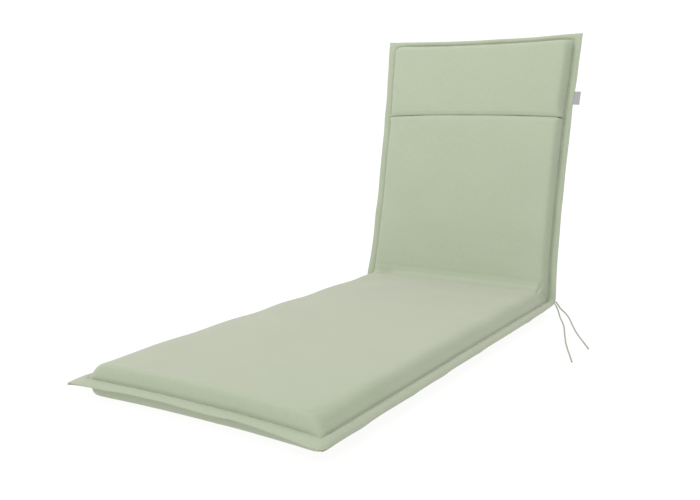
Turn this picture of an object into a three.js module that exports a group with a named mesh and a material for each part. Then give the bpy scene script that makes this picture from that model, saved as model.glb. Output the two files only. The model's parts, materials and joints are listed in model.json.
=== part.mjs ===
// A sun lounger cushion, bent as it lies on a lounger: the seat flat, the back raised.
// It is one long filled pad of two sewn panels, with a flat stitched border all round
// and one sewn channel under the headrest. A woven tab is sewn into the border beside
// the headrest, and two tie cords are sewn to the border at the fold.
//
// Millimetres, +Z up. The origin is the middle of the seat's flat underside.
// The foot end is towards -Y, and the back rises at +Y.
//
// The pad is drawn first as a flat pattern. "across" runs over the width, and "along"
// over the length from the fold: negative on the seat, positive on the back.

import * as THREE from "three";

const { degToRad, lerp, smoothstep } = THREE.MathUtils;

// The pad
const WIDTH = 600;
const SEAT_LENGTH = 1136;
const BACK_LENGTH = 734;
const BACK_ANGLE = degToRad(79.4);
const FRONT_HEIGHT = 32; // filling in front of the border's plane
const REAR_DEPTH = 36; // filling behind it
const FACE_RISE = 3; // the middle of a face, above its sides
const RISE_START = 4; // the higher, the nearer to full height the rise starts
const MIDDLE_FLATNESS = 2.5; // the higher, the later the middle falls to the sides
const FOOT_THINNING = 0.06; // the front is lower at the foot by this share
const FOOT_THINNING_REACH = 420;
const FACE_CORNER = 36;

// How far in from the seam the rings of the two shoulders lie. The last is the face's.
const FACE_INSET = 30;
const FRONT_RINGS = [3.5, 7.5, 12, 18, FACE_INSET];
const REAR_RINGS = [1.4, 5, 11, 21, FACE_INSET];

// The front's walls lean in from the seam by their run, then turn into the face
const FOOT_WALL_RUN = 9;
const HEAD_WALL_RUN = 11;
const SEAT_WALL_RUN = 20;
const BACK_WALL_RUN = 13.5;
const WALL_TURN = 5; // the higher, the tighter the turn
const WALLS_CHANGE_FROM = -60; // from the seat's walls to the back's, along the pad
const WALLS_CHANGE_TO = 80;

// The rear's shoulders are rounder, and narrower on the left
const REAR_LEFT_RUN = 11;
const REAR_RIGHT_RUN = 21;

// The border: two layers of cloth, flat, with a seam along its inner edge
const SIDE_BORDER = 22;
const FOOT_BORDER = 23;
const HEAD_BORDER = 13;
const FILLING_SHIFT = 3; // the filled part lies this far off the middle, towards +X
const BORDER_THICKNESS = 3;
const EDGE_CORNER = 4;
const SEAM_CORNER = 10;

// How far the border hangs at its outer edge, and how it waves
const SIDE_SAG = 6;
const SIDE_SAG_FROM = 20; // it grows from here on the back down to the seat
const SIDE_SAG_TO = -90;
const FOOT_SAG = 2.5;
const FOOT_SAG_REACH = 130;
const FOOT_CORNER_SAG = 8;
const FOOT_CORNER_START = 150; // across
const WAVES = [
  { height: 1.1, length: 163 },
  { height: 0.7, length: 101 },
];
const WAVE_SLANT = 0.8;

// Half of the width along the pad, drawn in on the back between its corners
const WIDTH_SECTIONS = [
  { along: -1136, half: 301 },
  { along: -760, half: 300 },
  { along: -560, half: 298 },
  { along: -200, half: 298 },
  { along: 0, half: 297.5 },
  { along: 130, half: 291 },
  { along: 290, half: 289 },
  { along: 510, half: 290.5 },
  { along: 660, half: 295.5 },
  { along: 734, half: 300 },
];
const FOOT_DRAWN_IN = 18;
const HEAD_DRAWN_IN = 8;
const DRAWN_IN_REACH = 260;

// The fold: fillets of the border, the front and the rear
const BORDER_FOLD_RADIUS = 10;
const FRONT_FOLD_RADIUS = 45;
const REAR_FOLD_RADIUS = 50;
const FRONT_FOLD_REACH = 170;
const REAR_FOLD_REACH = 110;

// The sewn channel under the headrest
const CHANNEL_ALONG = 498;
const CHANNEL_DEPTH = 0.4; // share of the pad's height
const CHANNEL_SOFTNESS = 8;
const CHANNEL_ARCH = 6; // its middle lies higher on the back
const CHANNEL_REACH = 60;

// Soft unevenness of the filled shoulders
const UNEVENNESS = 0.05;
const UNEVEN_LENGTH = 215;
const UNEVEN_SLANT = 0.35;

// Grid lines of the faces inside the shoulders
const CORNER_REACH = 40;
const CHANNEL_NEAR = 16; // fine rows on both sides of the channel
const CHANNEL_FAR = 50;
const FACE_LEFT = -WIDTH / 2 + SIDE_BORDER + FACE_INSET;
const FACE_FOOT = -SEAT_LENGTH + FOOT_BORDER + FACE_INSET;
const FACE_HEAD = BACK_LENGTH - HEAD_BORDER - FACE_INSET;
const ALONG_SECTIONS = [
  { to: FACE_FOOT + CORNER_REACH, cells: 2 },
  { to: -170, cells: 28 },
  { to: -30, cells: 7 },
  { to: 30, cells: 6 },
  { to: 170, cells: 7 },
  { to: CHANNEL_ALONG - CHANNEL_FAR, cells: 7 },
  { to: CHANNEL_ALONG - CHANNEL_NEAR, cells: 2 },
  { to: CHANNEL_ALONG + CHANNEL_NEAR, cells: 6 },
  { to: CHANNEL_ALONG + CHANNEL_FAR, cells: 2 },
  { to: FACE_HEAD - CORNER_REACH, cells: 3 },
  { to: FACE_HEAD, cells: 2 },
];
const ACROSS_SECTIONS = [
  { to: FACE_LEFT + CORNER_REACH, cells: 2 },
  { to: -FACE_LEFT - CORNER_REACH, cells: 8 },
  { to: -FACE_LEFT, cells: 2 },
];

// The woven tab, folded over and sewn into the border's edge
const TAB_ALONG = 556;
const TAB_HEIGHT = 36;
const TAB_REACH = 18;
const TAB_THICKNESS = 1.4;
const TAB_GAP = 0.45; // clears the bow of the border's edge

// The ties. Each leaves the border's edge at the fold, drops to the ground and lies on it.
const TIE_DIAMETER = 3.8;
const TIE_SIDES = 8;
const TIE_STEPS = 44;
const TIE_FRONT_ROUTE = [
  { x: 299.5, y: 559.5, z: 34.2 },
  { x: 303.3, y: 558, z: 29.5 },
  { x: 309, y: 555, z: 21.5 },
  { x: 316, y: 545, z: 13.5 },
  { x: 326, y: 526, z: 7 },
  { x: 340, y: 499, z: 3.2 },
  { x: 357, y: 460, z: 2.2 },
  { x: 371, y: 420.5, z: 2.2 },
  { x: 384, y: 381, z: 2.2 },
  { x: 397, y: 345, z: 2.2 },
  { x: 409, y: 310, z: 2.2 },
  { x: 421, y: 280, z: 2.2 },
  { x: 433, y: 250, z: 2.2 },
  { x: 443, y: 227, z: 2.2 },
  { x: 452, y: 205, z: 2.2 },
  { x: 466, y: 171, z: 2.2 },
];
const TIE_REAR_ROUTE = [
  { x: 299.5, y: 566.3, z: 38 },
  { x: 304, y: 567.3, z: 33 },
  { x: 313.5, y: 566, z: 21.5 },
  { x: 321, y: 563.2, z: 16.7 },
  { x: 329, y: 558.5, z: 12.5 },
  { x: 338, y: 549, z: 8.9 },
  { x: 347, y: 535.5, z: 6 },
  { x: 358, y: 514, z: 4.1 },
  { x: 369, y: 490, z: 2.6 },
  { x: 384.5, y: 456, z: 2.2 },
  { x: 400, y: 422, z: 2.2 },
  { x: 413, y: 396, z: 2.2 },
  { x: 426, y: 371, z: 2.2 },
  { x: 437.5, y: 349.5, z: 2.2 },
  { x: 449, y: 328, z: 2.2 },
  { x: 468, y: 292, z: 2.2 },
];

const clothMaterial = new THREE.MeshStandardMaterial({
  color: 0xb7c0a6,
  roughness: 0.95,
  metalness: 0,
});
const tieMaterial = new THREE.MeshStandardMaterial({
  color: 0xa3a995,
  roughness: 0.95,
  metalness: 0,
});
const tabMaterial = new THREE.MeshStandardMaterial({
  color: 0xc9c9ca,
  roughness: 0.8,
  metalness: 0,
});

// A line folded once at the seat's end, at a height above the border's plane. Its
// point at a distance from the middle of its fillet is given as { y, z }.
function foldedLine(height, radius) {
  const halfAngle = BACK_ANGLE / 2;
  const tangent = radius * Math.tan(halfAngle);
  const halfArc = radius * halfAngle;
  const corner = {
    y: SEAT_LENGTH / 2 - height * Math.tan(halfAngle),
    z: REAR_DEPTH + height,
  };
  const centre = { y: corner.y - tangent, z: corner.z + radius };
  return (distance) => {
    const straight = Math.abs(distance) - halfArc;
    if (straight <= 0) {
      const turn = halfAngle + distance / radius;
      return {
        y: centre.y + radius * Math.sin(turn),
        z: centre.z - radius * Math.cos(turn),
      };
    }
    if (distance < 0) {
      return { y: corner.y - tangent - straight, z: corner.z };
    }
    return {
      y: corner.y + (tangent + straight) * Math.cos(BACK_ANGLE),
      z: corner.z + (tangent + straight) * Math.sin(BACK_ANGLE),
    };
  };
}

// A face of the pad, at a height from the border's plane. Beyond its reach each point
// lies square above the border; within it the fold takes up or gives out cloth.
function paddedLine(height, radius, reach) {
  const line = foldedLine(height, radius);
  const halfAngle = BACK_ANGLE / 2;
  const taken =
    height * Math.tan(halfAngle) +
    (radius - BORDER_FOLD_RADIUS) * (Math.tan(halfAngle) - halfAngle);
  return (along) => {
    const share = Math.min(1, Math.abs(along) / reach);
    const ease = Math.sin((share * Math.PI) / 2);
    return line(Math.sign(along) * (Math.abs(along) - taken * ease));
  };
}

const borderLine = foldedLine(0, BORDER_FOLD_RADIUS);
const frontLine = paddedLine(FRONT_HEIGHT, FRONT_FOLD_RADIUS, FRONT_FOLD_REACH);
const rearLine = paddedLine(-REAR_DEPTH, REAR_FOLD_RADIUS, REAR_FOLD_REACH);

// The point of space for a pattern point at a height: above 0 towards the front face,
// below 0 towards the rear face.
function place(across, along, height) {
  const start = borderLine(along);
  const end = height < 0 ? rearLine(along) : frontLine(along);
  const share = height < 0 ? -height / REAR_DEPTH : height / FRONT_HEIGHT;
  return new THREE.Vector3(
    across,
    lerp(start.y, end.y, share),
    lerp(start.z, end.z, share),
  );
}

// A measure given at a few places along the pad, eased between them
function measureAt(sections, measure, along) {
  const next = sections.findIndex((section) => section.along >= along);
  if (next < 0) return sections.at(-1)[measure];
  if (next === 0) return sections[0][measure];
  const a = sections[next - 1];
  const b = sections[next];
  return lerp(a[measure], b[measure], smoothstep(along, a.along, b.along));
}

function halfWidth(along) {
  return measureAt(WIDTH_SECTIONS, "half", along);
}

// How far a point of the flat pattern lies in from the side seam and the end seam
function fromSeams({ across, along }) {
  const foot = along + SEAT_LENGTH - FOOT_BORDER;
  const head = BACK_LENGTH - HEAD_BORDER - along;
  return { side: WIDTH / 2 - SIDE_BORDER - Math.abs(across), foot, head };
}

// A wall that leans in by its run and turns into the face: its share of the height
function wallLift(inwards, run) {
  const share = inwards / run;
  return share / Math.pow(1 + Math.pow(share, WALL_TURN), 1 / WALL_TURN);
}

// A quarter of an ellipse: its share of the height
function roundLift(inwards, run) {
  const left = Math.max(0, 1 - inwards / run);
  return Math.sqrt(1 - left * left);
}

// The share of the filling's height that the front reaches at a point of the pattern
function frontLift(flat) {
  const { side, foot, head } = fromSeams(flat);
  const onBack = smoothstep(flat.along, WALLS_CHANGE_FROM, WALLS_CHANGE_TO);
  const sideRun = lerp(SEAT_WALL_RUN, BACK_WALL_RUN, onBack);
  return (
    wallLift(side, sideRun) *
    wallLift(foot, FOOT_WALL_RUN) *
    wallLift(head, HEAD_WALL_RUN)
  );
}

// The share of the depth that the rear reaches there
function rearLift(flat) {
  const { side, foot, head } = fromSeams(flat);
  const run = lerp(REAR_LEFT_RUN, REAR_RIGHT_RUN, flat.across / WIDTH + 0.5);
  return roundLift(side, run) * roundLift(foot, run) * roundLift(head, run);
}

// 1 along the pad's middle line and 0 at its sides
function middleness(across) {
  return Math.max(0, 1 - Math.pow(Math.abs(across) / (WIDTH / 2), MIDDLE_FLATNESS));
}

// The flat pattern pulled to its real outline: sides and ends drawn in between the
// corners, and the channel's line arched.
function drawnIn(across, along) {
  const middle = middleness(across);
  const nearFoot = 1 - smoothstep(along, -SEAT_LENGTH, -SEAT_LENGTH + DRAWN_IN_REACH);
  const nearHead = smoothstep(along, BACK_LENGTH - DRAWN_IN_REACH, BACK_LENGTH);
  const nearChannel =
    1 - smoothstep(Math.abs(along - CHANNEL_ALONG), 0, CHANNEL_REACH);
  const fromEdge = WIDTH / 2 - Math.abs(across);
  const shift = FILLING_SHIFT * smoothstep(fromEdge, 0, SIDE_BORDER);
  return {
    across: (across * halfWidth(along)) / (WIDTH / 2) + shift,
    along:
      along +
      middle * (FOOT_DRAWN_IN * nearFoot - HEAD_DRAWN_IN * nearHead) +
      middle * CHANNEL_ARCH * nearChannel,
  };
}

// How deep the channel draws the filling in, as a share of its height
function channelDepth(along) {
  return CHANNEL_DEPTH * Math.exp(-Math.abs(along - CHANNEL_ALONG) / CHANNEL_SOFTNESS);
}

// How far the border's outer edge hangs: on the seat by its weight, most at the foot's
// corners, with gentle waves all round.
function edgeSag(across, along) {
  const onSeat = 1 - smoothstep(along, SIDE_SAG_TO, SIDE_SAG_FROM);
  const atFoot = 1 - smoothstep(along, -SEAT_LENGTH, -SEAT_LENGTH + FOOT_SAG_REACH);
  const atCorner = smoothstep(Math.abs(across), FOOT_CORNER_START, WIDTH / 2);
  const footSag = lerp(FOOT_SAG, FOOT_CORNER_SAG, atCorner);
  let sag = onSeat * lerp(SIDE_SAG, footSag, atFoot);
  for (const { height, length } of WAVES) {
    sag += height * Math.sin(((along + across * WAVE_SLANT) / length) * 2 * Math.PI);
  }
  return sag;
}

// Grid lines from a start through sections of even cells
function gridLines(start, sections) {
  const lines = [start];
  for (const { to, cells } of sections) {
    const from = lines.at(-1);
    for (let i = 1; i <= cells; i += 1) lines.push(lerp(from, to, i / cells));
  }
  return lines;
}

const acrossLines = gridLines(FACE_LEFT, ACROSS_SECTIONS);
const alongLines = gridLines(FACE_FOOT, ALONG_SECTIONS);
const lastColumn = acrossLines.length - 1;
const lastRow = alongLines.length - 1;

// Rings round a face, from the border's edge in to the face. border is the share of the
// border's width still inside the ring, inwards the distance in from the seam, and
// hang the share of the border's sag.
function ringTable(insets) {
  const rings = [
    { border: 1, inwards: 0, corner: EDGE_CORNER, hang: 1 },
    { border: 0.5, inwards: 0, corner: EDGE_CORNER, hang: 0.4 },
    { border: 0, inwards: 0, corner: SEAM_CORNER, hang: 0 },
  ];
  for (const inwards of insets) {
    const corner = lerp(SEAM_CORNER, FACE_CORNER, inwards / FACE_INSET);
    rings.push({ border: 0, inwards, corner, hang: 0 });
  }
  return rings;
}

// Where a point beside a corner goes on a wider ring: how far along the edge it moves
// outwards, and how far the ring's round corner brings it in.
function cornerSlide(reach, spread, corner) {
  if (reach >= CORNER_REACH) return { outwards: 0, inwards: 0 };
  const fromCorner = reach * (1 + spread / CORNER_REACH);
  const move = spread + reach - fromCorner;
  if (fromCorner >= corner) return { outwards: move, inwards: 0 };
  const turn = (1 - fromCorner / corner) * (Math.PI / 4);
  return {
    outwards: move + fromCorner - corner * (1 - Math.sin(turn)),
    inwards: corner * (1 - Math.cos(turn)),
  };
}

// The ring's point outside a point on the face's edge, in the flat pattern
function ringPoint(column, row, ring) {
  const x = acrossLines[column];
  const y = alongLines[row];
  const atEnd = row === 0 || row === lastRow;
  const footHalf = row < lastRow / 2;
  const endBorder = footHalf ? FOOT_BORDER : HEAD_BORDER;
  const sideSpread = ring.border * SIDE_BORDER + FACE_INSET - ring.inwards;
  const endSpread = ring.border * endBorder + FACE_INSET - ring.inwards;
  const xSign = x < 0 ? -1 : 1;
  const ySign = footHalf ? -1 : 1;
  const xReach = -FACE_LEFT - Math.abs(x);
  const yReach = footHalf ? y - FACE_FOOT : FACE_HEAD - y;
  if (atEnd) {
    const slide = cornerSlide(xReach, sideSpread, ring.corner);
    return {
      across: x + xSign * slide.outwards,
      along: y + ySign * (endSpread - slide.inwards),
    };
  }
  const slide = cornerSlide(yReach, endSpread, ring.corner);
  return {
    across: x + xSign * (sideSpread - slide.inwards),
    along: y + ySign * slide.outwards,
  };
}

// Columns and rows of the points round the face, in order
function faceEdge() {
  const edge = [];
  for (let c = 0; c < lastColumn; c += 1) edge.push({ column: c, row: 0 });
  for (let r = 0; r < lastRow; r += 1) edge.push({ column: lastColumn, row: r });
  for (let c = lastColumn; c > 0; c -= 1) edge.push({ column: c, row: lastRow });
  for (let r = lastRow; r > 0; r -= 1) edge.push({ column: 0, row: r });
  return edge;
}

// A point of the pad's skin, for a point of the flat pattern on a ring
function skinPoint(flat, ring, isFront) {
  const { across, along } = drawnIn(flat.across, flat.along);
  const side = isFront ? 1 : -1;
  const layer = BORDER_THICKNESS / 2;
  if (ring.inwards === 0) {
    return place(across, along, side * layer - ring.hang * edgeSag(across, along));
  }
  const fullness = isFront ? frontLift(flat) : rearLift(flat);
  if (!isFront && flat.along < 0) {
    return place(across, along, -lerp(layer, REAR_DEPTH, fullness));
  }
  const slanted = flat.along + flat.across * UNEVEN_SLANT;
  const wave = Math.sin((slanted / UNEVEN_LENGTH) * 2 * Math.PI);
  const uneven = UNEVENNESS * (1 - middleness(flat.across)) * wave;
  const thin = 1 - smoothstep(flat.along, -SEAT_LENGTH, -SEAT_LENGTH + FOOT_THINNING_REACH);
  const drawn = channelDepth(flat.along) + FOOT_THINNING * thin;
  const lift = fullness * (1 - drawn + uneven);
  const rise = FACE_RISE * middleness(flat.across) * Math.pow(fullness, RISE_START);
  const full = isFront ? FRONT_HEIGHT : REAR_DEPTH;
  const easeAtFold = isFront ? 1 : smoothstep(flat.along, 0, REAR_FOLD_REACH);
  return place(across, along, side * (lerp(layer, full, lift) + rise * easeAtFold));
}

// The points and triangles of one side of the pad, front or rear, added to a mesh
function addSide(mesh, isFront) {
  const edge = faceEdge();
  const rings = ringTable(isFront ? FRONT_RINGS : REAR_RINGS);
  const rimStart = mesh.points.length;
  for (const ring of rings) {
    for (const { column, row } of edge) {
      mesh.points.push(skinPoint(ringPoint(column, row, ring), ring, isFront));
    }
  }
  const addQuad = (a, b, c, d) => {
    if (isFront) mesh.triangles.push(a, b, c, a, c, d);
    else mesh.triangles.push(a, c, b, a, d, c);
  };
  for (let k = 0; k < rings.length - 1; k += 1) {
    const outer = rimStart + k * edge.length;
    const inner = outer + edge.length;
    for (let i = 0; i < edge.length; i += 1) {
      const j = (i + 1) % edge.length;
      addQuad(outer + i, outer + j, inner + j, inner + i);
    }
  }
  const faceRing = rings.at(-1);
  const innerStart = rimStart + (rings.length - 1) * edge.length;
  const grid = Array.from({ length: lastRow + 1 }, () => []);
  edge.forEach(({ column, row }, i) => {
    grid[row][column] = innerStart + i;
  });
  for (let r = 1; r < lastRow; r += 1) {
    for (let c = 1; c < lastColumn; c += 1) {
      grid[r][c] = mesh.points.length;
      const flat = { across: acrossLines[c], along: alongLines[r] };
      mesh.points.push(skinPoint(flat, faceRing, isFront));
    }
  }
  for (let r = 0; r < lastRow; r += 1) {
    for (let c = 0; c < lastColumn; c += 1) {
      addQuad(grid[r][c], grid[r][c + 1], grid[r + 1][c + 1], grid[r + 1][c]);
    }
  }
  return { rimStart, rimCount: edge.length };
}

// The whole pad as one closed skin: its two sides, joined round the border's edge
function padGeometry() {
  const mesh = { points: [], triangles: [] };
  const front = addSide(mesh, true).rimStart;
  const { rimStart: rear, rimCount } = addSide(mesh, false);
  for (let i = 0; i < rimCount; i += 1) {
    const j = (i + 1) % rimCount;
    mesh.triangles.push(rear + i, rear + j, front + j, rear + i, front + j, front + i);
  }
  const geometry = new THREE.BufferGeometry().setFromPoints(mesh.points);
  geometry.setIndex(mesh.triangles);
  geometry.computeVertexNormals();
  return geometry;
}

// A thin strip folded double, its fold round and turned away from the pad
function tab() {
  const half = TAB_THICKNESS / 2;
  const outline = new THREE.Shape();
  outline.moveTo(0, -half);
  outline.lineTo(TAB_REACH - half, -half);
  outline.absarc(TAB_REACH - half, 0, half, -Math.PI / 2, Math.PI / 2, false);
  outline.lineTo(0, half);
  outline.closePath();
  const geometry = new THREE.ExtrudeGeometry(outline, {
    depth: TAB_HEIGHT,
    bevelEnabled: false,
    curveSegments: 6,
  });
  geometry.translate(0, 0, -TAB_HEIGHT / 2);
  const mesh = new THREE.Mesh(geometry, tabMaterial);
  const edge = drawnIn(WIDTH / 2, TAB_ALONG);
  const sag = edgeSag(edge.across, edge.along);
  mesh.position.copy(place(edge.across + TAB_GAP, edge.along, -sag));
  mesh.rotation.x = BACK_ANGLE - Math.PI / 2;
  const upper = halfWidth(TAB_ALONG + TAB_HEIGHT / 2);
  const lower = halfWidth(TAB_ALONG - TAB_HEIGHT / 2);
  mesh.rotation.y = Math.atan2(upper - lower, TAB_HEIGHT);
  return mesh;
}

// A tie lies along a smooth line through the points of its route
function tie(route) {
  const path = new THREE.CatmullRomCurve3(
    route.map(({ x, y, z }) => new THREE.Vector3(x, y, z)),
    false,
    "centripetal",
  );
  const section = new THREE.Shape();
  for (let i = 0; i < TIE_SIDES; i += 1) {
    const turn = ((i + 0.5) / TIE_SIDES) * 2 * Math.PI;
    const x = (TIE_DIAMETER / 2) * Math.cos(turn);
    const y = (TIE_DIAMETER / 2) * Math.sin(turn);
    if (i === 0) section.moveTo(x, y);
    else section.lineTo(x, y);
  }
  section.closePath();
  const geometry = new THREE.ExtrudeGeometry(section, {
    extrudePath: path,
    steps: TIE_STEPS,
    bevelEnabled: false,
  });
  return new THREE.Mesh(geometry, tieMaterial);
}

const cushion = new THREE.Group();

function add(name, mesh) {
  mesh.name = name;
  cushion.add(mesh);
}

add("pad", new THREE.Mesh(padGeometry(), clothMaterial));
add("woven_tab", tab());
add("tie_front", tie(TIE_FRONT_ROUTE));
add("tie_rear", tie(TIE_REAR_ROUTE));

export default cushion;
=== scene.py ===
import json
import math

import bpy
import numpy as np
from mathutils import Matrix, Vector
from mathutils.bvhtree import BVHTree
from mathutils.kdtree import KDTree
from mathutils.noise import noise as rough

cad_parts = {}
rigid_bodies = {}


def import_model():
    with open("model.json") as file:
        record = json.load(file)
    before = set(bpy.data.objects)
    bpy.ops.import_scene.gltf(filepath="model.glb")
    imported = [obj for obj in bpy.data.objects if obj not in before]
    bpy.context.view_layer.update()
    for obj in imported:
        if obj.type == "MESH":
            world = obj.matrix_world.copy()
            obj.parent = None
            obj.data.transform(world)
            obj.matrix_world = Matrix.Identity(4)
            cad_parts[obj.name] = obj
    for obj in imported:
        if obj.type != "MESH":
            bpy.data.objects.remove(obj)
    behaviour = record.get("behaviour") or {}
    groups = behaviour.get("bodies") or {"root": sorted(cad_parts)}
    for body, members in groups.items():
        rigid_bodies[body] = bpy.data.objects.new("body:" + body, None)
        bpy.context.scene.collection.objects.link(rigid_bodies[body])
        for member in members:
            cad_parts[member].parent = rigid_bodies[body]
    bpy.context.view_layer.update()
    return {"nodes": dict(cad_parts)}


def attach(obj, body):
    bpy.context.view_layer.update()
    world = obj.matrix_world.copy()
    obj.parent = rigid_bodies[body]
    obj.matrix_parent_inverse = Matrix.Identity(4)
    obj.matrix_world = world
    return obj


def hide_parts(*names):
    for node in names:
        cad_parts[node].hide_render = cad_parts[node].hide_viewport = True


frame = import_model()

# The camera, at the photograph's angle: in front of the foot end, to the right of the
# cushion, a little above the middle of the raised back.
camera_data = bpy.data.cameras.new("photo_camera")
camera_data.lens = 41.64
camera_data.sensor_width = 36
camera = bpy.data.objects.new("photo_camera", camera_data)
bpy.context.scene.collection.objects.link(camera)
camera.location = (0.9649, -1.5501, 0.5495)
camera.rotation_euler = (math.radians(80.259), 0, math.radians(32.06))
bpy.context.scene.camera = camera

# The two ties: thin cords sewn from a folded strip of the cushion's own cloth. Both are
# caught in the border's edge at the fold, drop to the ground and lie on it.
TIE_THICKNESS = 0.0038
TIE_FRONT_ROUTE = [
    (0.2995, 0.5595, 0.0342), (0.3033, 0.558, 0.0295), (0.309, 0.555, 0.0215),
    (0.316, 0.545, 0.0135), (0.326, 0.526, 0.007), (0.34, 0.499, 0.0032),
    (0.357, 0.46, 0.0022), (0.371, 0.4205, 0.0022), (0.384, 0.381, 0.0022),
    (0.397, 0.345, 0.0022), (0.409, 0.31, 0.0022), (0.421, 0.28, 0.0022),
    (0.433, 0.25, 0.0022), (0.443, 0.227, 0.0022), (0.452, 0.205, 0.0022),
    (0.466, 0.171, 0.0022),
]
TIE_REAR_ROUTE = [
    (0.2995, 0.5663, 0.038), (0.304, 0.5673, 0.033), (0.3135, 0.566, 0.0215),
    (0.321, 0.5632, 0.0167), (0.329, 0.5585, 0.0125), (0.338, 0.549, 0.0089),
    (0.347, 0.5355, 0.006), (0.358, 0.514, 0.0041), (0.369, 0.49, 0.0026),
    (0.3845, 0.456, 0.0022), (0.4, 0.422, 0.0022), (0.413, 0.396, 0.0022),
    (0.426, 0.371, 0.0022), (0.4375, 0.3495, 0.0022), (0.449, 0.328, 0.0022),
    (0.468, 0.292, 0.0022),
]


def new_finish(name, roughness, specular):
    finish = bpy.data.materials.new(name)
    finish.use_nodes = True
    nodes, links = finish.node_tree.nodes, finish.node_tree.links
    shader = nodes["Principled BSDF"]
    shader.inputs["Roughness"].default_value = roughness
    shader.inputs["Specular IOR Level"].default_value = specular
    return finish, nodes, links, shader


def mix_colours(nodes, links, factor, first, second):
    mix = nodes.new("ShaderNodeMix")
    mix.data_type = "RGBA"
    links.new(factor, mix.inputs["Factor"])
    mix.inputs["A"].default_value = (*first, 1)
    mix.inputs["B"].default_value = (*second, 1)
    return mix.outputs["Result"]


def grain(nodes, links, coordinates, scale, detail, stretch=(1, 1, 1)):
    mapping = nodes.new("ShaderNodeMapping")
    mapping.inputs["Scale"].default_value = stretch
    links.new(coordinates, mapping.inputs["Vector"])
    texture = nodes.new("ShaderNodeTexNoise")
    texture.inputs["Scale"].default_value = scale
    texture.inputs["Detail"].default_value = detail
    links.new(mapping.outputs["Vector"], texture.inputs["Vector"])
    return texture.outputs["Fac"]


def raise_grain(nodes, links, shader, height, strength, distance):
    bump = nodes.new("ShaderNodeBump")
    bump.inputs["Strength"].default_value = strength
    bump.inputs["Distance"].default_value = distance
    links.new(height, bump.inputs["Height"])
    links.new(bump.outputs["Normal"], shader.inputs["Normal"])


tie_finish, nodes, links, shader = new_finish("tie_cord_cloth", roughness=0.9, specular=0.25)
shader.inputs["Sheen Weight"].default_value = 0.2
shader.inputs["Sheen Roughness"].default_value = 0.5
place = nodes.new("ShaderNodeTexCoord").outputs["Object"]
fibres = grain(nodes, links, place, scale=900, detail=3)
colour = mix_colours(nodes, links, fibres, (0.22, 0.243, 0.18), (0.35, 0.372, 0.3))
links.new(colour, shader.inputs["Base Color"])
raise_grain(nodes, links, shader, fibres, strength=0.6, distance=0.0004)

for tie_name, node_name, route, tie_length in (
    ("tie_cord_front", "tie_front", TIE_FRONT_ROUTE, 0.436),
    ("tie_cord_rear", "tie_rear", TIE_REAR_ROUTE, 0.344),
):
    line = bpy.data.curves.new(tie_name, "CURVE")
    line.dimensions = "3D"
    line.bevel_depth = TIE_THICKNESS / 2
    line.bevel_resolution = 3
    line.resolution_u = 6
    line.use_fill_caps = True
    spline = line.splines.new("BEZIER")
    spline.bezier_points.add(len(route) - 1)
    for point, spot in zip(spline.bezier_points, route):
        point.co = spot
        point.handle_left_type = point.handle_right_type = "AUTO"
    tie = bpy.data.objects.new(tie_name, line)
    bpy.context.scene.collection.objects.link(tie)
    line.materials.append(tie_finish)
    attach(tie, "root")
    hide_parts(node_name)

# The cushion: two panels of plain woven cloth with one filling between them, sewn
# together along a seam that leaves a flat border, and once across under the headrest.
# The panels start as the solid's own faces, whose rows follow the seam and the channel.
SEWN_ANGLE = math.radians(60)
MERGE_DISTANCE = 1e-5
BORDER_ROWS = 2
WALL_ROWS = 5
WIDE_CELL = 0.04
WIDE_CELLS_END = 0.206
FOOT_MIDDLE = (0, -0.55, 0.035)
SEAT_TOP_MIDDLE = (0, 0, 0.071)
SEAT_UNDER_MIDDLE = (0, 0, 0)
CHANNEL_HEIGHTS = (0.4, 0.62)

bpy.ops.object.select_all(action="DESELECT")
cushion = bpy.data.objects.new("cushion_pad", frame["nodes"]["pad"].data.copy())
bpy.context.scene.collection.objects.link(cushion)
cushion.data.materials.clear()
cushion.select_set(True)
bpy.context.view_layer.objects.active = cushion
bpy.ops.object.mode_set(mode="EDIT")
bpy.ops.mesh.select_all(action="SELECT")
bpy.ops.mesh.remove_doubles(threshold=MERGE_DISTANCE)
bpy.ops.mesh.customdata_custom_splitnormals_clear()
bpy.ops.object.mode_set(mode="OBJECT")


def points_of(piece):
    values = np.empty(len(piece.data.vertices) * 3)
    piece.data.vertices.foreach_get("co", values)
    return values.reshape(-1, 3)


def edges_of(piece):
    values = np.empty(len(piece.data.edges) * 2, dtype=int)
    piece.data.edges.foreach_get("vertices", values)
    return values.reshape(-1, 2)


def normals_of(piece):
    values = np.empty(len(piece.data.vertices) * 3)
    piece.data.vertices.foreach_get("normal", values)
    return values.reshape(-1, 3)


def move_points(piece, points):
    piece.data.vertices.foreach_set("co", points.ravel())
    piece.data.update()


def choose(piece, kind, choice):
    bpy.ops.object.mode_set(mode="EDIT")
    bpy.ops.mesh.select_all(action="DESELECT")
    bpy.ops.mesh.select_mode(type=kind)
    bpy.ops.object.mode_set(mode="OBJECT")
    layer = {"EDGE": piece.data.edges, "FACE": piece.data.polygons}[kind]
    layer.foreach_set("select", choice)
    bpy.ops.object.mode_set(mode="EDIT")


def chosen(layer):
    bpy.ops.object.mode_set(mode="OBJECT")
    marks = np.empty(len(layer), dtype=bool)
    layer.foreach_get("select", marks)
    return marks


def points_on_edges(piece, edge_choice):
    marks = np.zeros(len(piece.data.vertices), dtype=bool)
    marks[edges_of(piece)[edge_choice].ravel()] = True
    return marks


def points_on_faces(piece, face_choice):
    marks = np.zeros(len(piece.data.vertices), dtype=bool)
    for face in piece.data.polygons:
        if face_choice[face.index]:
            marks[list(face.vertices)] = True
    return marks


def only_face_near(piece, place, among):
    nearest = min(
        (face for face in piece.data.polygons if among[face.index]),
        key=lambda face: (face.center - Vector(place)).length,
    )
    choice = np.zeros(len(piece.data.polygons), dtype=bool)
    choice[nearest.index] = True
    return choice


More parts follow.
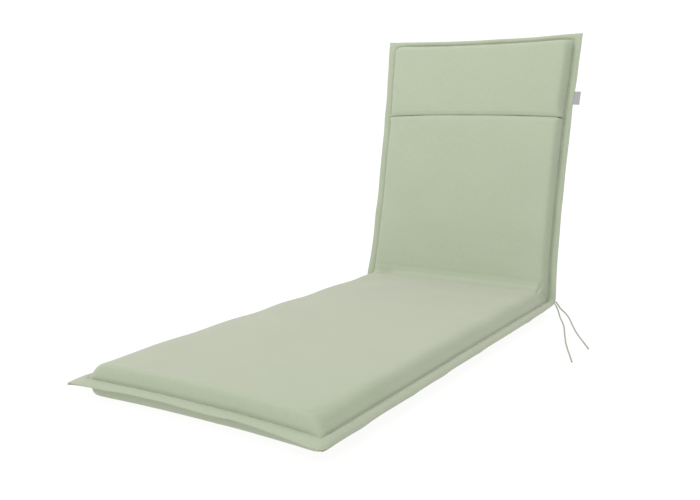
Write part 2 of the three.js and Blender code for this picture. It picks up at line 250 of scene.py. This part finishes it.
# The hem is the rim all round: the faces with sharp corners that join on to the one at
# the middle of the foot. From it in, row by row, come the border, the seam and the walls.
HEM, SEAM, CHANNEL = 1, 2, 3
every_edge = np.ones(len(cushion.data.edges), dtype=bool)
choose(cushion, "EDGE", ~every_edge)
bpy.ops.mesh.edges_select_sharp(sharpness=SEWN_ANGLE)
sharp = chosen(cushion.data.edges)
sharp_points = points_on_edges(cushion, sharp)
cornered = np.array(
    [sharp_points[list(face.vertices)].all() for face in cushion.data.polygons]
)
choose(cushion, "FACE", cornered)
bpy.ops.mesh.hide(unselected=True)
bpy.ops.object.mode_set(mode="OBJECT")
foot_face = only_face_near(cushion, FOOT_MIDDLE, cornered)
cushion.data.polygons.foreach_set("select", foot_face)
bpy.ops.object.mode_set(mode="EDIT")
bpy.ops.mesh.select_linked()
rim_faces = chosen(cushion.data.polygons)
bpy.ops.object.mode_set(mode="EDIT")
bpy.ops.mesh.reveal(select=False)
choose(cushion, "FACE", rim_faces)
bpy.ops.mesh.region_to_loop()
hem_edges = chosen(cushion.data.edges)
rows = rim_faces
for row in range(1, BORDER_ROWS + WALL_ROWS + 1):
    choose(cushion, "FACE", rows)
    bpy.ops.mesh.select_more()
    rows = chosen(cushion.data.polygons)
    choose(cushion, "FACE", rows)
    bpy.ops.mesh.region_to_loop()
    row_edges = chosen(cushion.data.edges)
    choose(cushion, "EDGE", row_edges)
    bpy.ops.mesh.mark_seam()
    bpy.ops.object.mode_set(mode="OBJECT")
    if row == BORDER_ROWS:
        seam_edges = row_edges
line_layer = cushion.data.attributes.new("sewn_line", "INT", "EDGE")
line_layer.data.foreach_set("value", (hem_edges * HEM + seam_edges * SEAM).astype(np.int32))

# The triangles are joined to squares inside each row. One more column between the wide
# ones lets the cloth wave across the width.
choose(cushion, "EDGE", every_edge)
bpy.ops.mesh.tris_convert_to_quads(
    face_threshold=math.pi, shape_threshold=math.pi, seam=True
)
bpy.ops.mesh.mark_seam(clear=True)
bpy.ops.object.mode_set(mode="OBJECT")
points, edges = points_of(cushion), edges_of(cushion)
spans = np.abs(points[edges[:, 0]] - points[edges[:, 1]])
middles = points[edges].mean(axis=1)
choose(cushion, "EDGE", (spans[:, 0] > WIDE_CELL) & (np.abs(middles[:, 0]) < WIDE_CELLS_END))
bpy.ops.mesh.subdivide(number_cuts=1)
bpy.ops.object.mode_set(mode="OBJECT")


def sewn_lines_of(piece):
    values = np.zeros(len(piece.data.edges), dtype=np.int32)
    piece.data.attributes["sewn_line"].data.foreach_get("value", values)
    return values


# With the hem and the seam marked, the border is every face that joins on to neither
# the seat's top nor its underside.
points, edges = points_of(cushion), edges_of(cushion)
line_numbers = sewn_lines_of(cushion)
hem_edges, seam_edges = line_numbers == HEM, line_numbers == SEAM
choose(cushion, "EDGE", hem_edges | seam_edges)
bpy.ops.mesh.mark_seam()
bpy.ops.object.mode_set(mode="OBJECT")
every_face = np.ones(len(cushion.data.polygons), dtype=bool)
seat_top = only_face_near(cushion, SEAT_TOP_MIDDLE, every_face)
seat_under = only_face_near(cushion, SEAT_UNDER_MIDDLE, every_face)
choose(cushion, "FACE", seat_top | seat_under)
bpy.ops.mesh.select_linked(delimit={"SEAM"})
border_faces = ~chosen(cushion.data.polygons)
border_points = points_on_faces(cushion, border_faces)

# The channel's edges are sharp, run across the back and end at the border
choose(cushion, "EDGE", np.zeros(len(edges), dtype=bool))
bpy.ops.mesh.edges_select_sharp(sharpness=SEWN_ANGLE)
sharp = chosen(cushion.data.edges)
spans = np.abs(points[edges[:, 0]] - points[edges[:, 1]])
middles = points[edges].mean(axis=1)
channel_edges = sharp & (spans[:, 0] > 2 * spans[:, 2]) & ~border_points[edges].all(axis=1)
channel_edges &= (middles[:, 2] > CHANNEL_HEIGHTS[0]) & (middles[:, 2] < CHANNEL_HEIGHTS[1])
choose(cushion, "EDGE", channel_edges)
bpy.ops.mesh.loop_multi_select(ring=False)
channel_edges = chosen(cushion.data.edges) & ~border_points[edges].all(axis=1)
line_numbers[channel_edges] = CHANNEL
cushion.data.attributes["sewn_line"].data.foreach_set("value", line_numbers)

# The front panel is every face inside the hem on the side of the seat's top
choose(cushion, "EDGE", seam_edges)
bpy.ops.mesh.mark_seam(clear=True)
choose(cushion, "FACE", seat_top)
bpy.ops.mesh.select_linked(delimit={"SEAM"})
front_faces = chosen(cushion.data.polygons)

# The cloth's own pattern: each panel is laid flat from the hem in, then turned and
# scaled until one unit of it is a metre of cloth, with v along the cushion's length.
SEAT_END = 0.35
SEAT_HEIGHT = 0.11
cushion.data.uv_layers.new(name="laid_flat")
bpy.ops.object.mode_set(mode="EDIT")
bpy.ops.mesh.select_all(action="SELECT")
bpy.ops.uv.unwrap(method="ANGLE_BASED", margin=0.01)
bpy.ops.object.mode_set(mode="OBJECT")
corners = np.empty(len(cushion.data.loops), dtype=int)
cushion.data.loops.foreach_get("vertex_index", corners)
flat_pattern = np.empty(len(corners) * 2)
cushion.data.uv_layers["laid_flat"].data.foreach_get("uv", flat_pattern)
flat_pattern = flat_pattern[0::2] + 1j * flat_pattern[1::2]
on_front = np.zeros(len(corners), dtype=bool)
for face in cushion.data.polygons:
    on_front[list(face.loop_indices)] = front_faces[face.index]
for panel, turned in ((on_front, 1), (~on_front, -1)):
    seat = panel & (points[corners, 1] < SEAT_END) & (points[corners, 2] < SEAT_HEIGHT)
    real = turned * points[corners[seat], 0] + 1j * points[corners[seat], 1]
    laid = flat_pattern[seat] - flat_pattern[seat].mean()
    scale = np.sum((real - real.mean()) * laid.conj()) / np.sum(np.abs(laid) ** 2)
    middle = flat_pattern[seat].mean()
    flat_pattern[panel] = (flat_pattern[panel] - middle) * scale + real.mean()
cushion.data.uv_layers["laid_flat"].data.foreach_set(
    "uv", np.column_stack([flat_pattern.real, flat_pattern.imag]).ravel()
)


def in_order(line_edges):
    neighbours = {}
    for a, b in line_edges:
        neighbours.setdefault(int(a), []).append(int(b))
        neighbours.setdefault(int(b), []).append(int(a))
    ends = [spot for spot, beside in neighbours.items() if len(beside) == 1]
    unused = set(neighbours)
    lines = []
    for start in ends + sorted(neighbours):
        line, spot = [], start if start in unused else None
        while spot is not None:
            line.append(spot)
            unused.discard(spot)
            spot = next((n for n in neighbours[spot] if n in unused), None)
        if line:
            lines.append(line)
    return lines


# Sewn lines stay sharp in the smooth cloth, and so do their corners, but not the foot's
# right-hand one, which is turned round.
CORNER_TURN = math.radians(65)
FOOT_END = -0.4
ROUNDED_CORNER = 0.35
HEM_CREASE = 0.6
SEAM_CREASE = 1
CHANNEL_CREASE = 0.9
corner_creases = np.zeros(len(points))
for line in in_order(edges[hem_edges]) + in_order(edges[seam_edges]):
    path = points[line]
    into = path - np.roll(path, 1, axis=0)
    out_of = np.roll(path, -1, axis=0) - path
    lengths = np.linalg.norm(into, axis=1) * np.linalg.norm(out_of, axis=1)
    cosines = (into * out_of).sum(1) / lengths
    for spot in np.array(line)[cosines < math.cos(CORNER_TURN)]:
        at_foot_right = points[spot][0] > 0 and points[spot][1] < FOOT_END
        corner_creases[spot] = ROUNDED_CORNER if at_foot_right else 1
corner_layer = cushion.data.attributes.new("crease_vert", "FLOAT", "POINT")
corner_layer.data.foreach_set("value", corner_creases)
creases = np.zeros(len(edges))
creases[hem_edges] = HEM_CREASE
creases[seam_edges] = SEAM_CREASE
creases[channel_edges] = CHANNEL_CREASE
crease_layer = cushion.data.attributes.new("crease_edge", "FLOAT", "EDGE")
crease_layer.data.foreach_set("value", creases)
front_points = points_on_faces(cushion, front_faces)
side_layer = cushion.data.attributes.new("front_side", "FLOAT", "POINT")
side_layer.data.foreach_set("value", front_points.astype(float))

# The cloth is held along its sewn lines and on the ground. Between them the filling
# only carries it, so there it can swell and wave.
FILLING_HOLD = 0.3
ON_GROUND = 0.002
channel_points = points_on_edges(cushion, channel_edges)
on_ground = points[:, 2] < ON_GROUND
for group_name, members in (
    ("border", border_points),
    ("held", border_points | channel_points | on_ground),
):
    group = cushion.vertex_groups.new(name=group_name)
    group.add([int(i) for i in np.flatnonzero(members)], 1.0, "REPLACE")


def finish_with(piece, kind, **settings):
    modifier = piece.modifiers.new(kind.lower(), kind)
    for key, value in settings.items():
        setattr(modifier, key, value)
    bpy.ops.object.modifier_apply(modifier=modifier.name)


def weights_of(piece, group_name):
    index = piece.vertex_groups[group_name].index
    weights = np.zeros(len(piece.data.vertices))
    for vertex in piece.data.vertices:
        for entry in vertex.groups:
            if entry.group == index:
                weights[vertex.index] = entry.weight
    return weights


# A subdivision draws a shape in, so the points first go out by as much, up to a limit
# at the tight corners, and come back to where the solid has them.
OUTSET_LIMIT = 0.0025
OUTSET_ROUNDS = 3
TINY = 1e-9


def subdivide_to_size(piece):
    wanted = points_of(piece)
    outset = np.zeros_like(wanted)
    modifier = piece.modifiers.new("rounded", "SUBSURF")
    modifier.levels = modifier.render_levels = 1
    for _ in range(OUTSET_ROUNDS):
        rounded = piece.evaluated_get(bpy.context.evaluated_depsgraph_get())
        outset += wanted - points_of(rounded)[: len(wanted)]
        lengths = np.maximum(np.linalg.norm(outset, axis=1), TINY)
        outset *= np.minimum(1, OUTSET_LIMIT / lengths)[:, None]
        move_points(piece, wanted + outset)
    bpy.ops.object.modifier_apply(modifier=modifier.name)


subdivide_to_size(cushion)

# The filling pushes the panels out. The cloth is cut slightly too large and starts a
# little further in. Its swell is then evened out, and stays within a few millimetres.
FILLING_PRESSURE = 4
CLOTH_STIFFNESS = 3
CLOTH_SHRINK = -0.005
SWELL_START = 0.0004
SWELL_LIMIT = 0.005
SWELL_FRAMES = 20
EASING_ROUNDS = 10
EASING_SHARE = 0.5
free = 1 - weights_of(cushion, "held")
before = points_of(cushion) - normals_of(cushion) * (SWELL_START * free)[:, None]
move_points(cushion, before)
cloth = cushion.modifiers.new("swell", "CLOTH")
hold = cushion.vertex_groups.new(name="hold")
for vertex, weight in zip(cushion.data.vertices, 1 - free * (1 - FILLING_HOLD)):
    hold.add([vertex.index], weight, "REPLACE")
cloth.settings.vertex_group_mass = "hold"
cloth.settings.use_pressure = True
cloth.settings.uniform_pressure_force = FILLING_PRESSURE
cloth.settings.bending_stiffness = CLOTH_STIFFNESS
cloth.settings.shrink_min = cloth.settings.shrink_max = CLOTH_SHRINK
cloth.settings.effector_weights.gravity = 0
cloth.collision_settings.use_collision = False
for frame_number in range(1, SWELL_FRAMES + 1):
    bpy.context.scene.frame_set(frame_number)
bpy.ops.object.modifier_apply(modifier=cloth.name)
bpy.context.scene.frame_set(1)
swell = points_of(cushion) - before
a, b = edges_of(cushion).T
meets = np.bincount(np.concatenate([a, b]))[:, None]
for _ in range(EASING_ROUNDS):
    beside = np.zeros_like(swell)
    np.add.at(beside, a, swell[b])
    np.add.at(beside, b, swell[a])
    eased = (1 - EASING_SHARE) * swell + EASING_SHARE * beside / meets
    swell = np.where(free[:, None] > 0, eased, swell)
lengths = np.maximum(np.linalg.norm(swell, axis=1), TINY)
swell *= (SWELL_LIMIT * np.tanh(lengths / SWELL_LIMIT) / lengths)[:, None]
move_points(cushion, before + swell)

subdivide_to_size(cushion)
for crease_name in ("crease_edge", "crease_vert"):
    cushion.data.attributes.remove(cushion.data.attributes[crease_name])

# Each sewn line as its points in order, to measure from it and to stitch along it
points, edges, normals = points_of(cushion), edges_of(cushion), normals_of(cushion)
line_numbers = sewn_lines_of(cushion)
side = np.zeros(len(points), dtype=np.float32)
cushion.data.attributes["front_side"].data.foreach_get("value", side)
hem_lines = in_order(edges[line_numbers == HEM])
seam_lines = in_order(edges[line_numbers == SEAM])
channel_lines = in_order(edges[line_numbers == CHANNEL])


def nearest_on(lines):
    tree = KDTree(sum(len(line) for line in lines))
    for spot in (spot for line in lines for spot in line):
        tree.insert(points[spot], spot)
    tree.balance()
    found = [tree.find(point) for point in points]
    return (
        np.array([distance for _, _, distance in found]),
        np.array([index for _, index, _ in found]),
    )


IN_BORDER = 0.99
from_hem, _ = nearest_on(hem_lines)
from_seam, seam_spot = nearest_on(seam_lines)
from_channel, _ = nearest_on(channel_lines)
border = weights_of(cushion, "border") > IN_BORDER

# The border is two layers of cloth with a little wadding, pulled flat at both stitch
# lines. The seam's pull makes a narrow groove, and short puckers run in from it.
BORDER_FULLNESS = 0.0019
SEAM_PINCH = 0.0023
SEAM_PINCH_REACH = 0.0034
PUCKER_HEIGHT = 0.0005
PUCKER_REACH = 0.012
PUCKER_PITCH = 0.022
HEM_EDGE = 0.002
share = from_seam / np.maximum(from_seam + from_hem, 1e-6)
lift = np.where(border, BORDER_FULLNESS * 4 * share * (1 - share), 0.0)
lift -= SEAM_PINCH * np.exp(-((from_seam / SEAM_PINCH_REACH) ** 2))
pucker = np.array([rough(Vector(points[i]) / PUCKER_PITCH) for i in seam_spot])
lift += PUCKER_HEIGHT * pucker * np.exp(-from_seam / PUCKER_REACH) * (from_hem > HEM_EDGE)

# The channel is sewn tight, so it is a narrow groove with the filling full beside it
CHANNEL_DEPTH = 0.0135
CHANNEL_SLOPE = 0.007
CHANNEL_TIGHT_SLOPE = 0.0022
CHANNEL_ENDS = 0.014
CHANNEL_PINCH = 0.005
CHANNEL_PINCH_REACH = 0.0042
tight = np.exp(-from_channel / CHANNEL_SLOPE) - np.exp(-from_channel / CHANNEL_TIGHT_SLOPE)
channel_lift = CHANNEL_DEPTH * tight
channel_lift -= CHANNEL_PINCH * np.exp(-((from_channel / CHANNEL_PINCH_REACH) ** 2))
lift += channel_lift * np.clip(from_seam / CHANNEL_ENDS, 0, 1) * ~border

# At the fold the front panel runs on into the corner between seat and back, so its crease
# is tighter than the solid's round fillet. It puckers once near its left end.
BACK_RAISED = math.radians(79.4)
FOLD_HALF_ANGLE = BACK_RAISED / 2
FILLET_CENTRE = np.array([0.5041, 0.113])
FILLET_RADIUS = 0.045
CREASE_RADIUS = 0.02
CREASE_FROM_SEAM = 0.004
CREASE_ENDS = 0.03
FOLD_REACH = 0.012
FRONT_SIDE = 0.9
to_corner = np.array([math.sin(FOLD_HALF_ANGLE), -math.cos(FOLD_HALF_ANGLE)])
spokes = points[:, 1:] - FILLET_CENTRE
spoke_lengths = np.linalg.norm(spokes, axis=1)
turn = np.arccos(np.clip(spokes @ to_corner / spoke_lengths, -1, 1))
crease_offset = (FILLET_RADIUS - CREASE_RADIUS) / math.cos(FOLD_HALF_ANGLE)
crease_turn = math.atan2(
    CREASE_RADIUS * math.sin(FOLD_HALF_ANGLE),
    crease_offset + CREASE_RADIUS * math.cos(FOLD_HALF_ANGLE),
)
to_panels = FILLET_RADIUS / np.cos(np.clip(FOLD_HALF_ANGLE - turn, 0, FOLD_HALF_ANGLE))
half_chord = np.sqrt(np.maximum(CREASE_RADIUS**2 - (crease_offset * np.sin(turn)) ** 2, 0))
to_crease = crease_offset * np.cos(turn) + half_chord
deeper = np.where(turn < crease_turn, to_crease, to_panels) - FILLET_RADIUS
in_fold = (turn < FOLD_HALF_ANGLE) & (side > FRONT_SIDE) & ~border
in_fold &= np.abs(spoke_lengths - FILLET_RADIUS) < FOLD_REACH
ends = np.clip((from_seam - CREASE_FROM_SEAM) / CREASE_ENDS, 0, 1)
lift -= np.where(in_fold, deeper * ends, 0)
FOLD_PUCKER = np.array([-0.22, 0.529, 0.0755])
FOLD_PUCKER_SIZE = np.array([0.035, 0.01, 0.01])
FOLD_PUCKER_DEPTH = 0.009
from_pucker = np.linalg.norm((points - FOLD_PUCKER) / FOLD_PUCKER_SIZE, axis=1)
lift -= FOLD_PUCKER_DEPTH * np.exp(-(from_pucker**2))

# The faces are never quite even: broad soft waves in the filling
WAVE_HEIGHT = 0.0012
WAVE_PITCH = 0.11
WAVE_START = 0.05
SMOOTH_TURN = math.radians(50)
waves = np.array([rough(Vector(point) / WAVE_PITCH) for point in points])
lift += WAVE_HEIGHT * waves * np.clip(from_seam / WAVE_START, 0, 1) * ~border
lift[points[:, 2] < ON_GROUND] = 0
points += normals * lift[:, None]
points[:, 2] = np.maximum(points[:, 2], 0)
move_points(cushion, points)
bpy.ops.object.shade_smooth_by_angle(angle=SMOOTH_TURN)
skin = BVHTree.FromPolygons(points.tolist(), [face.vertices[:] for face in cushion.data.polygons])

# Plain woven polyester canvas. Its threads, thick places and colour run along the
# panel as it was cut.
WEAVE_PITCH = 0.0011
pad_finish, nodes, links, shader = new_finish("sage_canvas", roughness=0.92, specular=0.2)
shader.inputs["Sheen Weight"].default_value = 0.46
shader.inputs["Sheen Roughness"].default_value = 0.35
shader.inputs["Sheen Tint"].default_value = (1.0, 0.86, 0.9, 1)
laid_flat = nodes.new("ShaderNodeUVMap")
laid_flat.uv_map = "laid_flat"
laid_flat = laid_flat.outputs["UV"]


def thread_rows(direction):
    rows = nodes.new("ShaderNodeTexWave")
    rows.wave_type = "BANDS"
    rows.bands_direction = direction
    rows.inputs["Scale"].default_value = math.pi / 10 / WEAVE_PITCH
    rows.inputs["Phase Offset"].default_value = -math.pi / 2
    links.new(laid_flat, rows.inputs["Vector"])
    return rows.outputs["Fac"]


over_under = nodes.new("ShaderNodeTexChecker")
over_under.inputs["Scale"].default_value = 1 / WEAVE_PITCH
links.new(laid_flat, over_under.inputs["Vector"])
weave = nodes.new("ShaderNodeMix")
links.new(over_under.outputs["Fac"], weave.inputs["Factor"])
links.new(thread_rows("X"), weave.inputs["A"])
links.new(thread_rows("Y"), weave.inputs["B"])
slubs_along = grain(nodes, links, laid_flat, scale=60, detail=4, stretch=(12, 1, 1))
slubs_across = grain(nodes, links, laid_flat, scale=60, detail=4, stretch=(1, 12, 1))
patches = grain(nodes, links, laid_flat, scale=9, detail=2)
canvas = mix_colours(nodes, links, patches, (0.323, 0.364, 0.268), (0.342, 0.382, 0.285))
slubs = mix_colours(nodes, links, slubs_along, (0.92, 0.92, 0.92), (1.08, 1.08, 1.08))
cross_slubs = mix_colours(nodes, links, slubs_across, (0.93, 0.93, 0.93), (1.07, 1.07, 1.07))
weave = weave.outputs["Result"]
threads = mix_colours(nodes, links, weave, (0.93, 0.93, 0.93), (1.04, 1.04, 1.04))
for streaks in (slubs, cross_slubs, threads):
    blend = nodes.new("ShaderNodeMix")
    blend.data_type = "RGBA"
    blend.blend_type = "MULTIPLY"
    blend.inputs["Factor"].default_value = 1
    links.new(canvas, blend.inputs["A"])
    links.new(streaks, blend.inputs["B"])
    canvas = blend.outputs["Result"]
links.new(canvas, shader.inputs["Base Color"])
raise_grain(nodes, links, shader, weave, strength=0.35, distance=0.0003)
cushion.data.materials.append(pad_finish)
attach(cushion, "root")
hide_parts("pad")

# The stitching: lock stitches of strong polyester thread, through both panels along the
# seam and the hem and along the channel, and a bar of them across the two ties.
STITCH_PITCH = 0.005
STITCH_LENGTH = 0.0039
THREAD_THICKNESS = 0.0007
HEM_STITCH_IN = 0.004
SEAM_STITCH_OUT = 0.0014
BAR_START = np.array([0.2955, 0.5595, 0.0375])
BAR_STEP = np.array([0, 0.0012, 0])
BAR_STITCHES = 7
bpy.ops.object.select_all(action="DESELECT")
bpy.ops.mesh.primitive_uv_sphere_add(segments=5, ring_count=4, radius=0.5)
stitch = bpy.context.active_object
bpy.ops.object.mode_set(mode="EDIT")
bpy.ops.transform.rotate(value=math.pi / 2, orient_axis="Y", center_override=(0, 0, 0))
bpy.ops.transform.resize(
    value=(STITCH_LENGTH, THREAD_THICKNESS, THREAD_THICKNESS), center_override=(0, 0, 0)
)
bpy.ops.object.mode_set(mode="OBJECT")
stitch_points = points_of(stitch)
stitch_faces = [list(face.vertices) for face in stitch.data.polygons]


def spaced(path, pitch):
    steps = np.linalg.norm(np.diff(path, axis=0), axis=1)
    run = np.concatenate([[0], np.cumsum(steps)])
    count = int(run[-1] / pitch)
    at = (np.arange(count) + 0.5) * run[-1] / count
    return np.column_stack([np.interp(at, run, path[:, axis]) for axis in range(3)])


def towards(path, other, distance):
    tree = KDTree(len(other))
    for index, spot in enumerate(other):
        tree.insert(spot, index)
    tree.balance()
    aims = np.array([tree.find(spot)[0] for spot in path]) - path
    return path + aims * distance / np.linalg.norm(aims, axis=1)[:, None]


def sewn_along(path):
    spots = spaced(path, STITCH_PITCH)
    return [(spot, ahead) for spot, ahead in zip(spots, np.gradient(spots, axis=0))]


stitches = []
for hem_line in hem_lines:
    hem_path = points[hem_line + hem_line[:1]]
    seam_line = min(
        seam_lines, key=lambda line: np.linalg.norm(points[line].mean(0) - hem_path.mean(0))
    )
    seam_path = points[seam_line + seam_line[:1]]
    stitches += sewn_along(towards(hem_path, seam_path, HEM_STITCH_IN))
    stitches += sewn_along(towards(seam_path, hem_path, SEAM_STITCH_OUT))
for channel_line in channel_lines:
    stitches += sewn_along(points[channel_line])
for step in range(BAR_STITCHES):
    stitches.append((BAR_START + BAR_STEP * step, np.array([1.0, 0, 0])))

thread_points, thread_faces = [], []
for spot, ahead in stitches:
    on_skin, normal, _, _ = skin.find_nearest(Vector(spot))
    forward = Vector(ahead) - normal * normal.dot(Vector(ahead))
    forward.normalize()
    turned = np.array([forward, normal.cross(forward), normal])
    start = len(thread_points) * len(stitch_points)
    thread_points.append(stitch_points @ turned + np.array(on_skin))
    thread_faces += [[start + corner for corner in face] for face in stitch_faces]
stitching_mesh = bpy.data.meshes.new("stitching")
stitching_mesh.from_pydata(np.vstack(thread_points).tolist(), [], thread_faces)
bpy.data.objects.remove(stitch)
stitching = bpy.data.objects.new("stitching", stitching_mesh)
bpy.context.scene.collection.objects.link(stitching)

thread_finish, nodes, links, shader = new_finish("sewing_thread", roughness=0.6, specular=0.35)
place = nodes.new("ShaderNodeTexCoord").outputs["Object"]
twist = grain(nodes, links, place, scale=1400, detail=1)
colour = mix_colours(nodes, links, twist, (0.3, 0.34, 0.24), (0.4, 0.44, 0.33))
links.new(colour, shader.inputs["Base Color"])
raise_grain(nodes, links, shader, twist, strength=0.4, distance=0.0002)
stitching_mesh.materials.append(thread_finish)
stitching_mesh.shade_smooth()
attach(stitching, "root")

# The side tab: a strip of pale grey satin ribbon, folded double with its two ends
# caught in the border's edge beside the headrest.
RIBBON_THICKNESS = 0.0005
RIBBON_FOLD = 0.00045
RIBBON_CUTS = 47
RIBBON_CURL = 0.0012
RIBBON_CURL_TURN = 2.2
TAB_END = 0.002
tab_points = np.array([vertex.co for vertex in frame["nodes"]["woven_tab"].data.vertices])
top = tab_points[tab_points[:, 2] > tab_points[:, 2].max() - TAB_END].mean(axis=0)
bottom = tab_points[tab_points[:, 2] < tab_points[:, 2].min() + TAB_END].mean(axis=0)
tab_height = np.linalg.norm(top - bottom)
up = (top - bottom) / tab_height
across = np.array([1.0, 0, 0]) - up[0] * up
across /= np.linalg.norm(across)
outwards = np.cross(across, up)
reach = (tab_points - bottom) @ across
tab_reach = reach.max() - reach.min()
tab_start = bottom + across * reach.min()
bpy.ops.object.select_all(action="DESELECT")
bpy.ops.mesh.primitive_plane_add(size=1)
tab = bpy.context.active_object
tab.name = "side_tab"
bpy.ops.object.mode_set(mode="EDIT")
bpy.ops.mesh.subdivide(number_cuts=RIBBON_CUTS)
bpy.ops.object.mode_set(mode="OBJECT")
flat = points_of(tab)
bend = math.pi * RIBBON_FOLD / 2
along = flat[:, 0] * 2 * (tab_reach - RIBBON_FOLD - RIBBON_THICKNESS + bend)
turn = np.clip(along / RIBBON_FOLD, -math.pi / 2, math.pi / 2)
straight = np.maximum(np.abs(along) - bend, 0)
out = tab_reach - RIBBON_FOLD - RIBBON_THICKNESS / 2 + RIBBON_FOLD * np.cos(turn) - straight
height = flat[:, 1] * (tab_height - RIBBON_THICKNESS)
curl = RIBBON_CURL * (np.clip(out, 0, None) / tab_reach) ** 2
curl *= np.cos(RIBBON_CURL_TURN * flat[:, 1])
depth = RIBBON_FOLD * np.sin(turn) + curl
move_points(
    tab,
    tab_start
    + np.outer(out, across)
    + np.outer(height + tab_height / 2, up)
    + np.outer(depth, outwards),
)
bpy.context.view_layer.objects.active = tab
finish_with(tab, "SOLIDIFY", thickness=RIBBON_THICKNESS, offset=0)
bpy.ops.object.shade_smooth_by_angle(angle=SMOOTH_TURN)
ribbon_finish, nodes, links, shader = new_finish("satin_ribbon", roughness=0.5, specular=0.4)
shader.inputs["Sheen Weight"].default_value = 0.1
place = nodes.new("ShaderNodeTexCoord").outputs["Object"]
ribs = nodes.new("ShaderNodeTexWave")
ribs.bands_direction = "Z"
ribs.inputs["Scale"].default_value = 520
ribs.inputs["Distortion"].default_value = 0.6
links.new(place, ribs.inputs["Vector"])
ribs = ribs.outputs["Fac"]
colour = mix_colours(nodes, links, ribs, (0.25, 0.25, 0.253), (0.31, 0.31, 0.313))
links.new(colour, shader.inputs["Base Color"])
raise_grain(nodes, links, shader, ribs, strength=0.3, distance=0.0002)
tab.data.materials.append(ribbon_finish)
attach(tab, "root")
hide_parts("woven_tab")

# The floor: plain and pale, lit through like a light table, so that no dark shadow lies
# under the cushion.
FLOOR_SIZE = 24
floor_finish, _, _, shader = new_finish("studio_floor", roughness=0.9, specular=0.05)
shader.inputs["Base Color"].default_value = (0.13, 0.13, 0.128, 1)
shader.inputs["Emission Color"].default_value = (1, 1, 0.995, 1)
shader.inputs["Emission Strength"].default_value = 0.9
bpy.ops.object.select_all(action="DESELECT")
bpy.ops.mesh.primitive_plane_add(size=FLOOR_SIZE)
floor = bpy.context.active_object
floor.name = "studio_floor"
floor.data.materials.append(floor_finish)

# The light: a bright plain room, brighter in front and dimmer on the right, and a soft
# box above the seat.
room = bpy.data.worlds.new("bright_room")
room.use_nodes = True
nodes, links = room.node_tree.nodes, room.node_tree.links
direction = nodes.new("ShaderNodeTexCoord").outputs["Generated"]


def brightness_towards(aim, start, away, full):
    facing = nodes.new("ShaderNodeVectorMath")
    facing.operation = "DOT_PRODUCT"
    facing.inputs[1].default_value = aim
    links.new(direction, facing.inputs[0])
    brightness = nodes.new("ShaderNodeMapRange")
    brightness.inputs["From Min"].default_value = start
    brightness.inputs["From Max"].default_value = 1
    brightness.inputs["To Min"].default_value = away
    brightness.inputs["To Max"].default_value = full
    links.new(facing.outputs["Value"], brightness.inputs["Value"])
    return brightness.outputs["Result"]


dimmed = nodes.new("ShaderNodeMath")
dimmed.operation = "MULTIPLY"
links.new(brightness_towards((-0.2, -0.97, 0), -0.1, 1.05, 1.86), dimmed.inputs[0])
links.new(brightness_towards((1, 0, 0), 0.1, 1, 0.86), dimmed.inputs[1])
links.new(dimmed.outputs["Value"], nodes["Background"].inputs["Strength"])
nodes["Background"].inputs["Color"].default_value = (1, 1, 1, 1)
bpy.context.scene.world = room
bpy.context.scene.view_settings.view_transform = "Standard"
soft_box = bpy.data.lights.new("soft_box", "AREA")
soft_box.shape = "RECTANGLE"
soft_box.size = 1.6
soft_box.size_y = 1.2
soft_box.energy = 9
lamp = bpy.data.objects.new("soft_box", soft_box)
bpy.context.scene.collection.objects.link(lamp)
lamp.location = (-0.25, -0.55, 1.7)
lamp_aim = Vector((0, 0.45, 0.2)) - lamp.location
lamp.rotation_euler = lamp_aim.to_track_quat("-Z", "Y").to_euler()
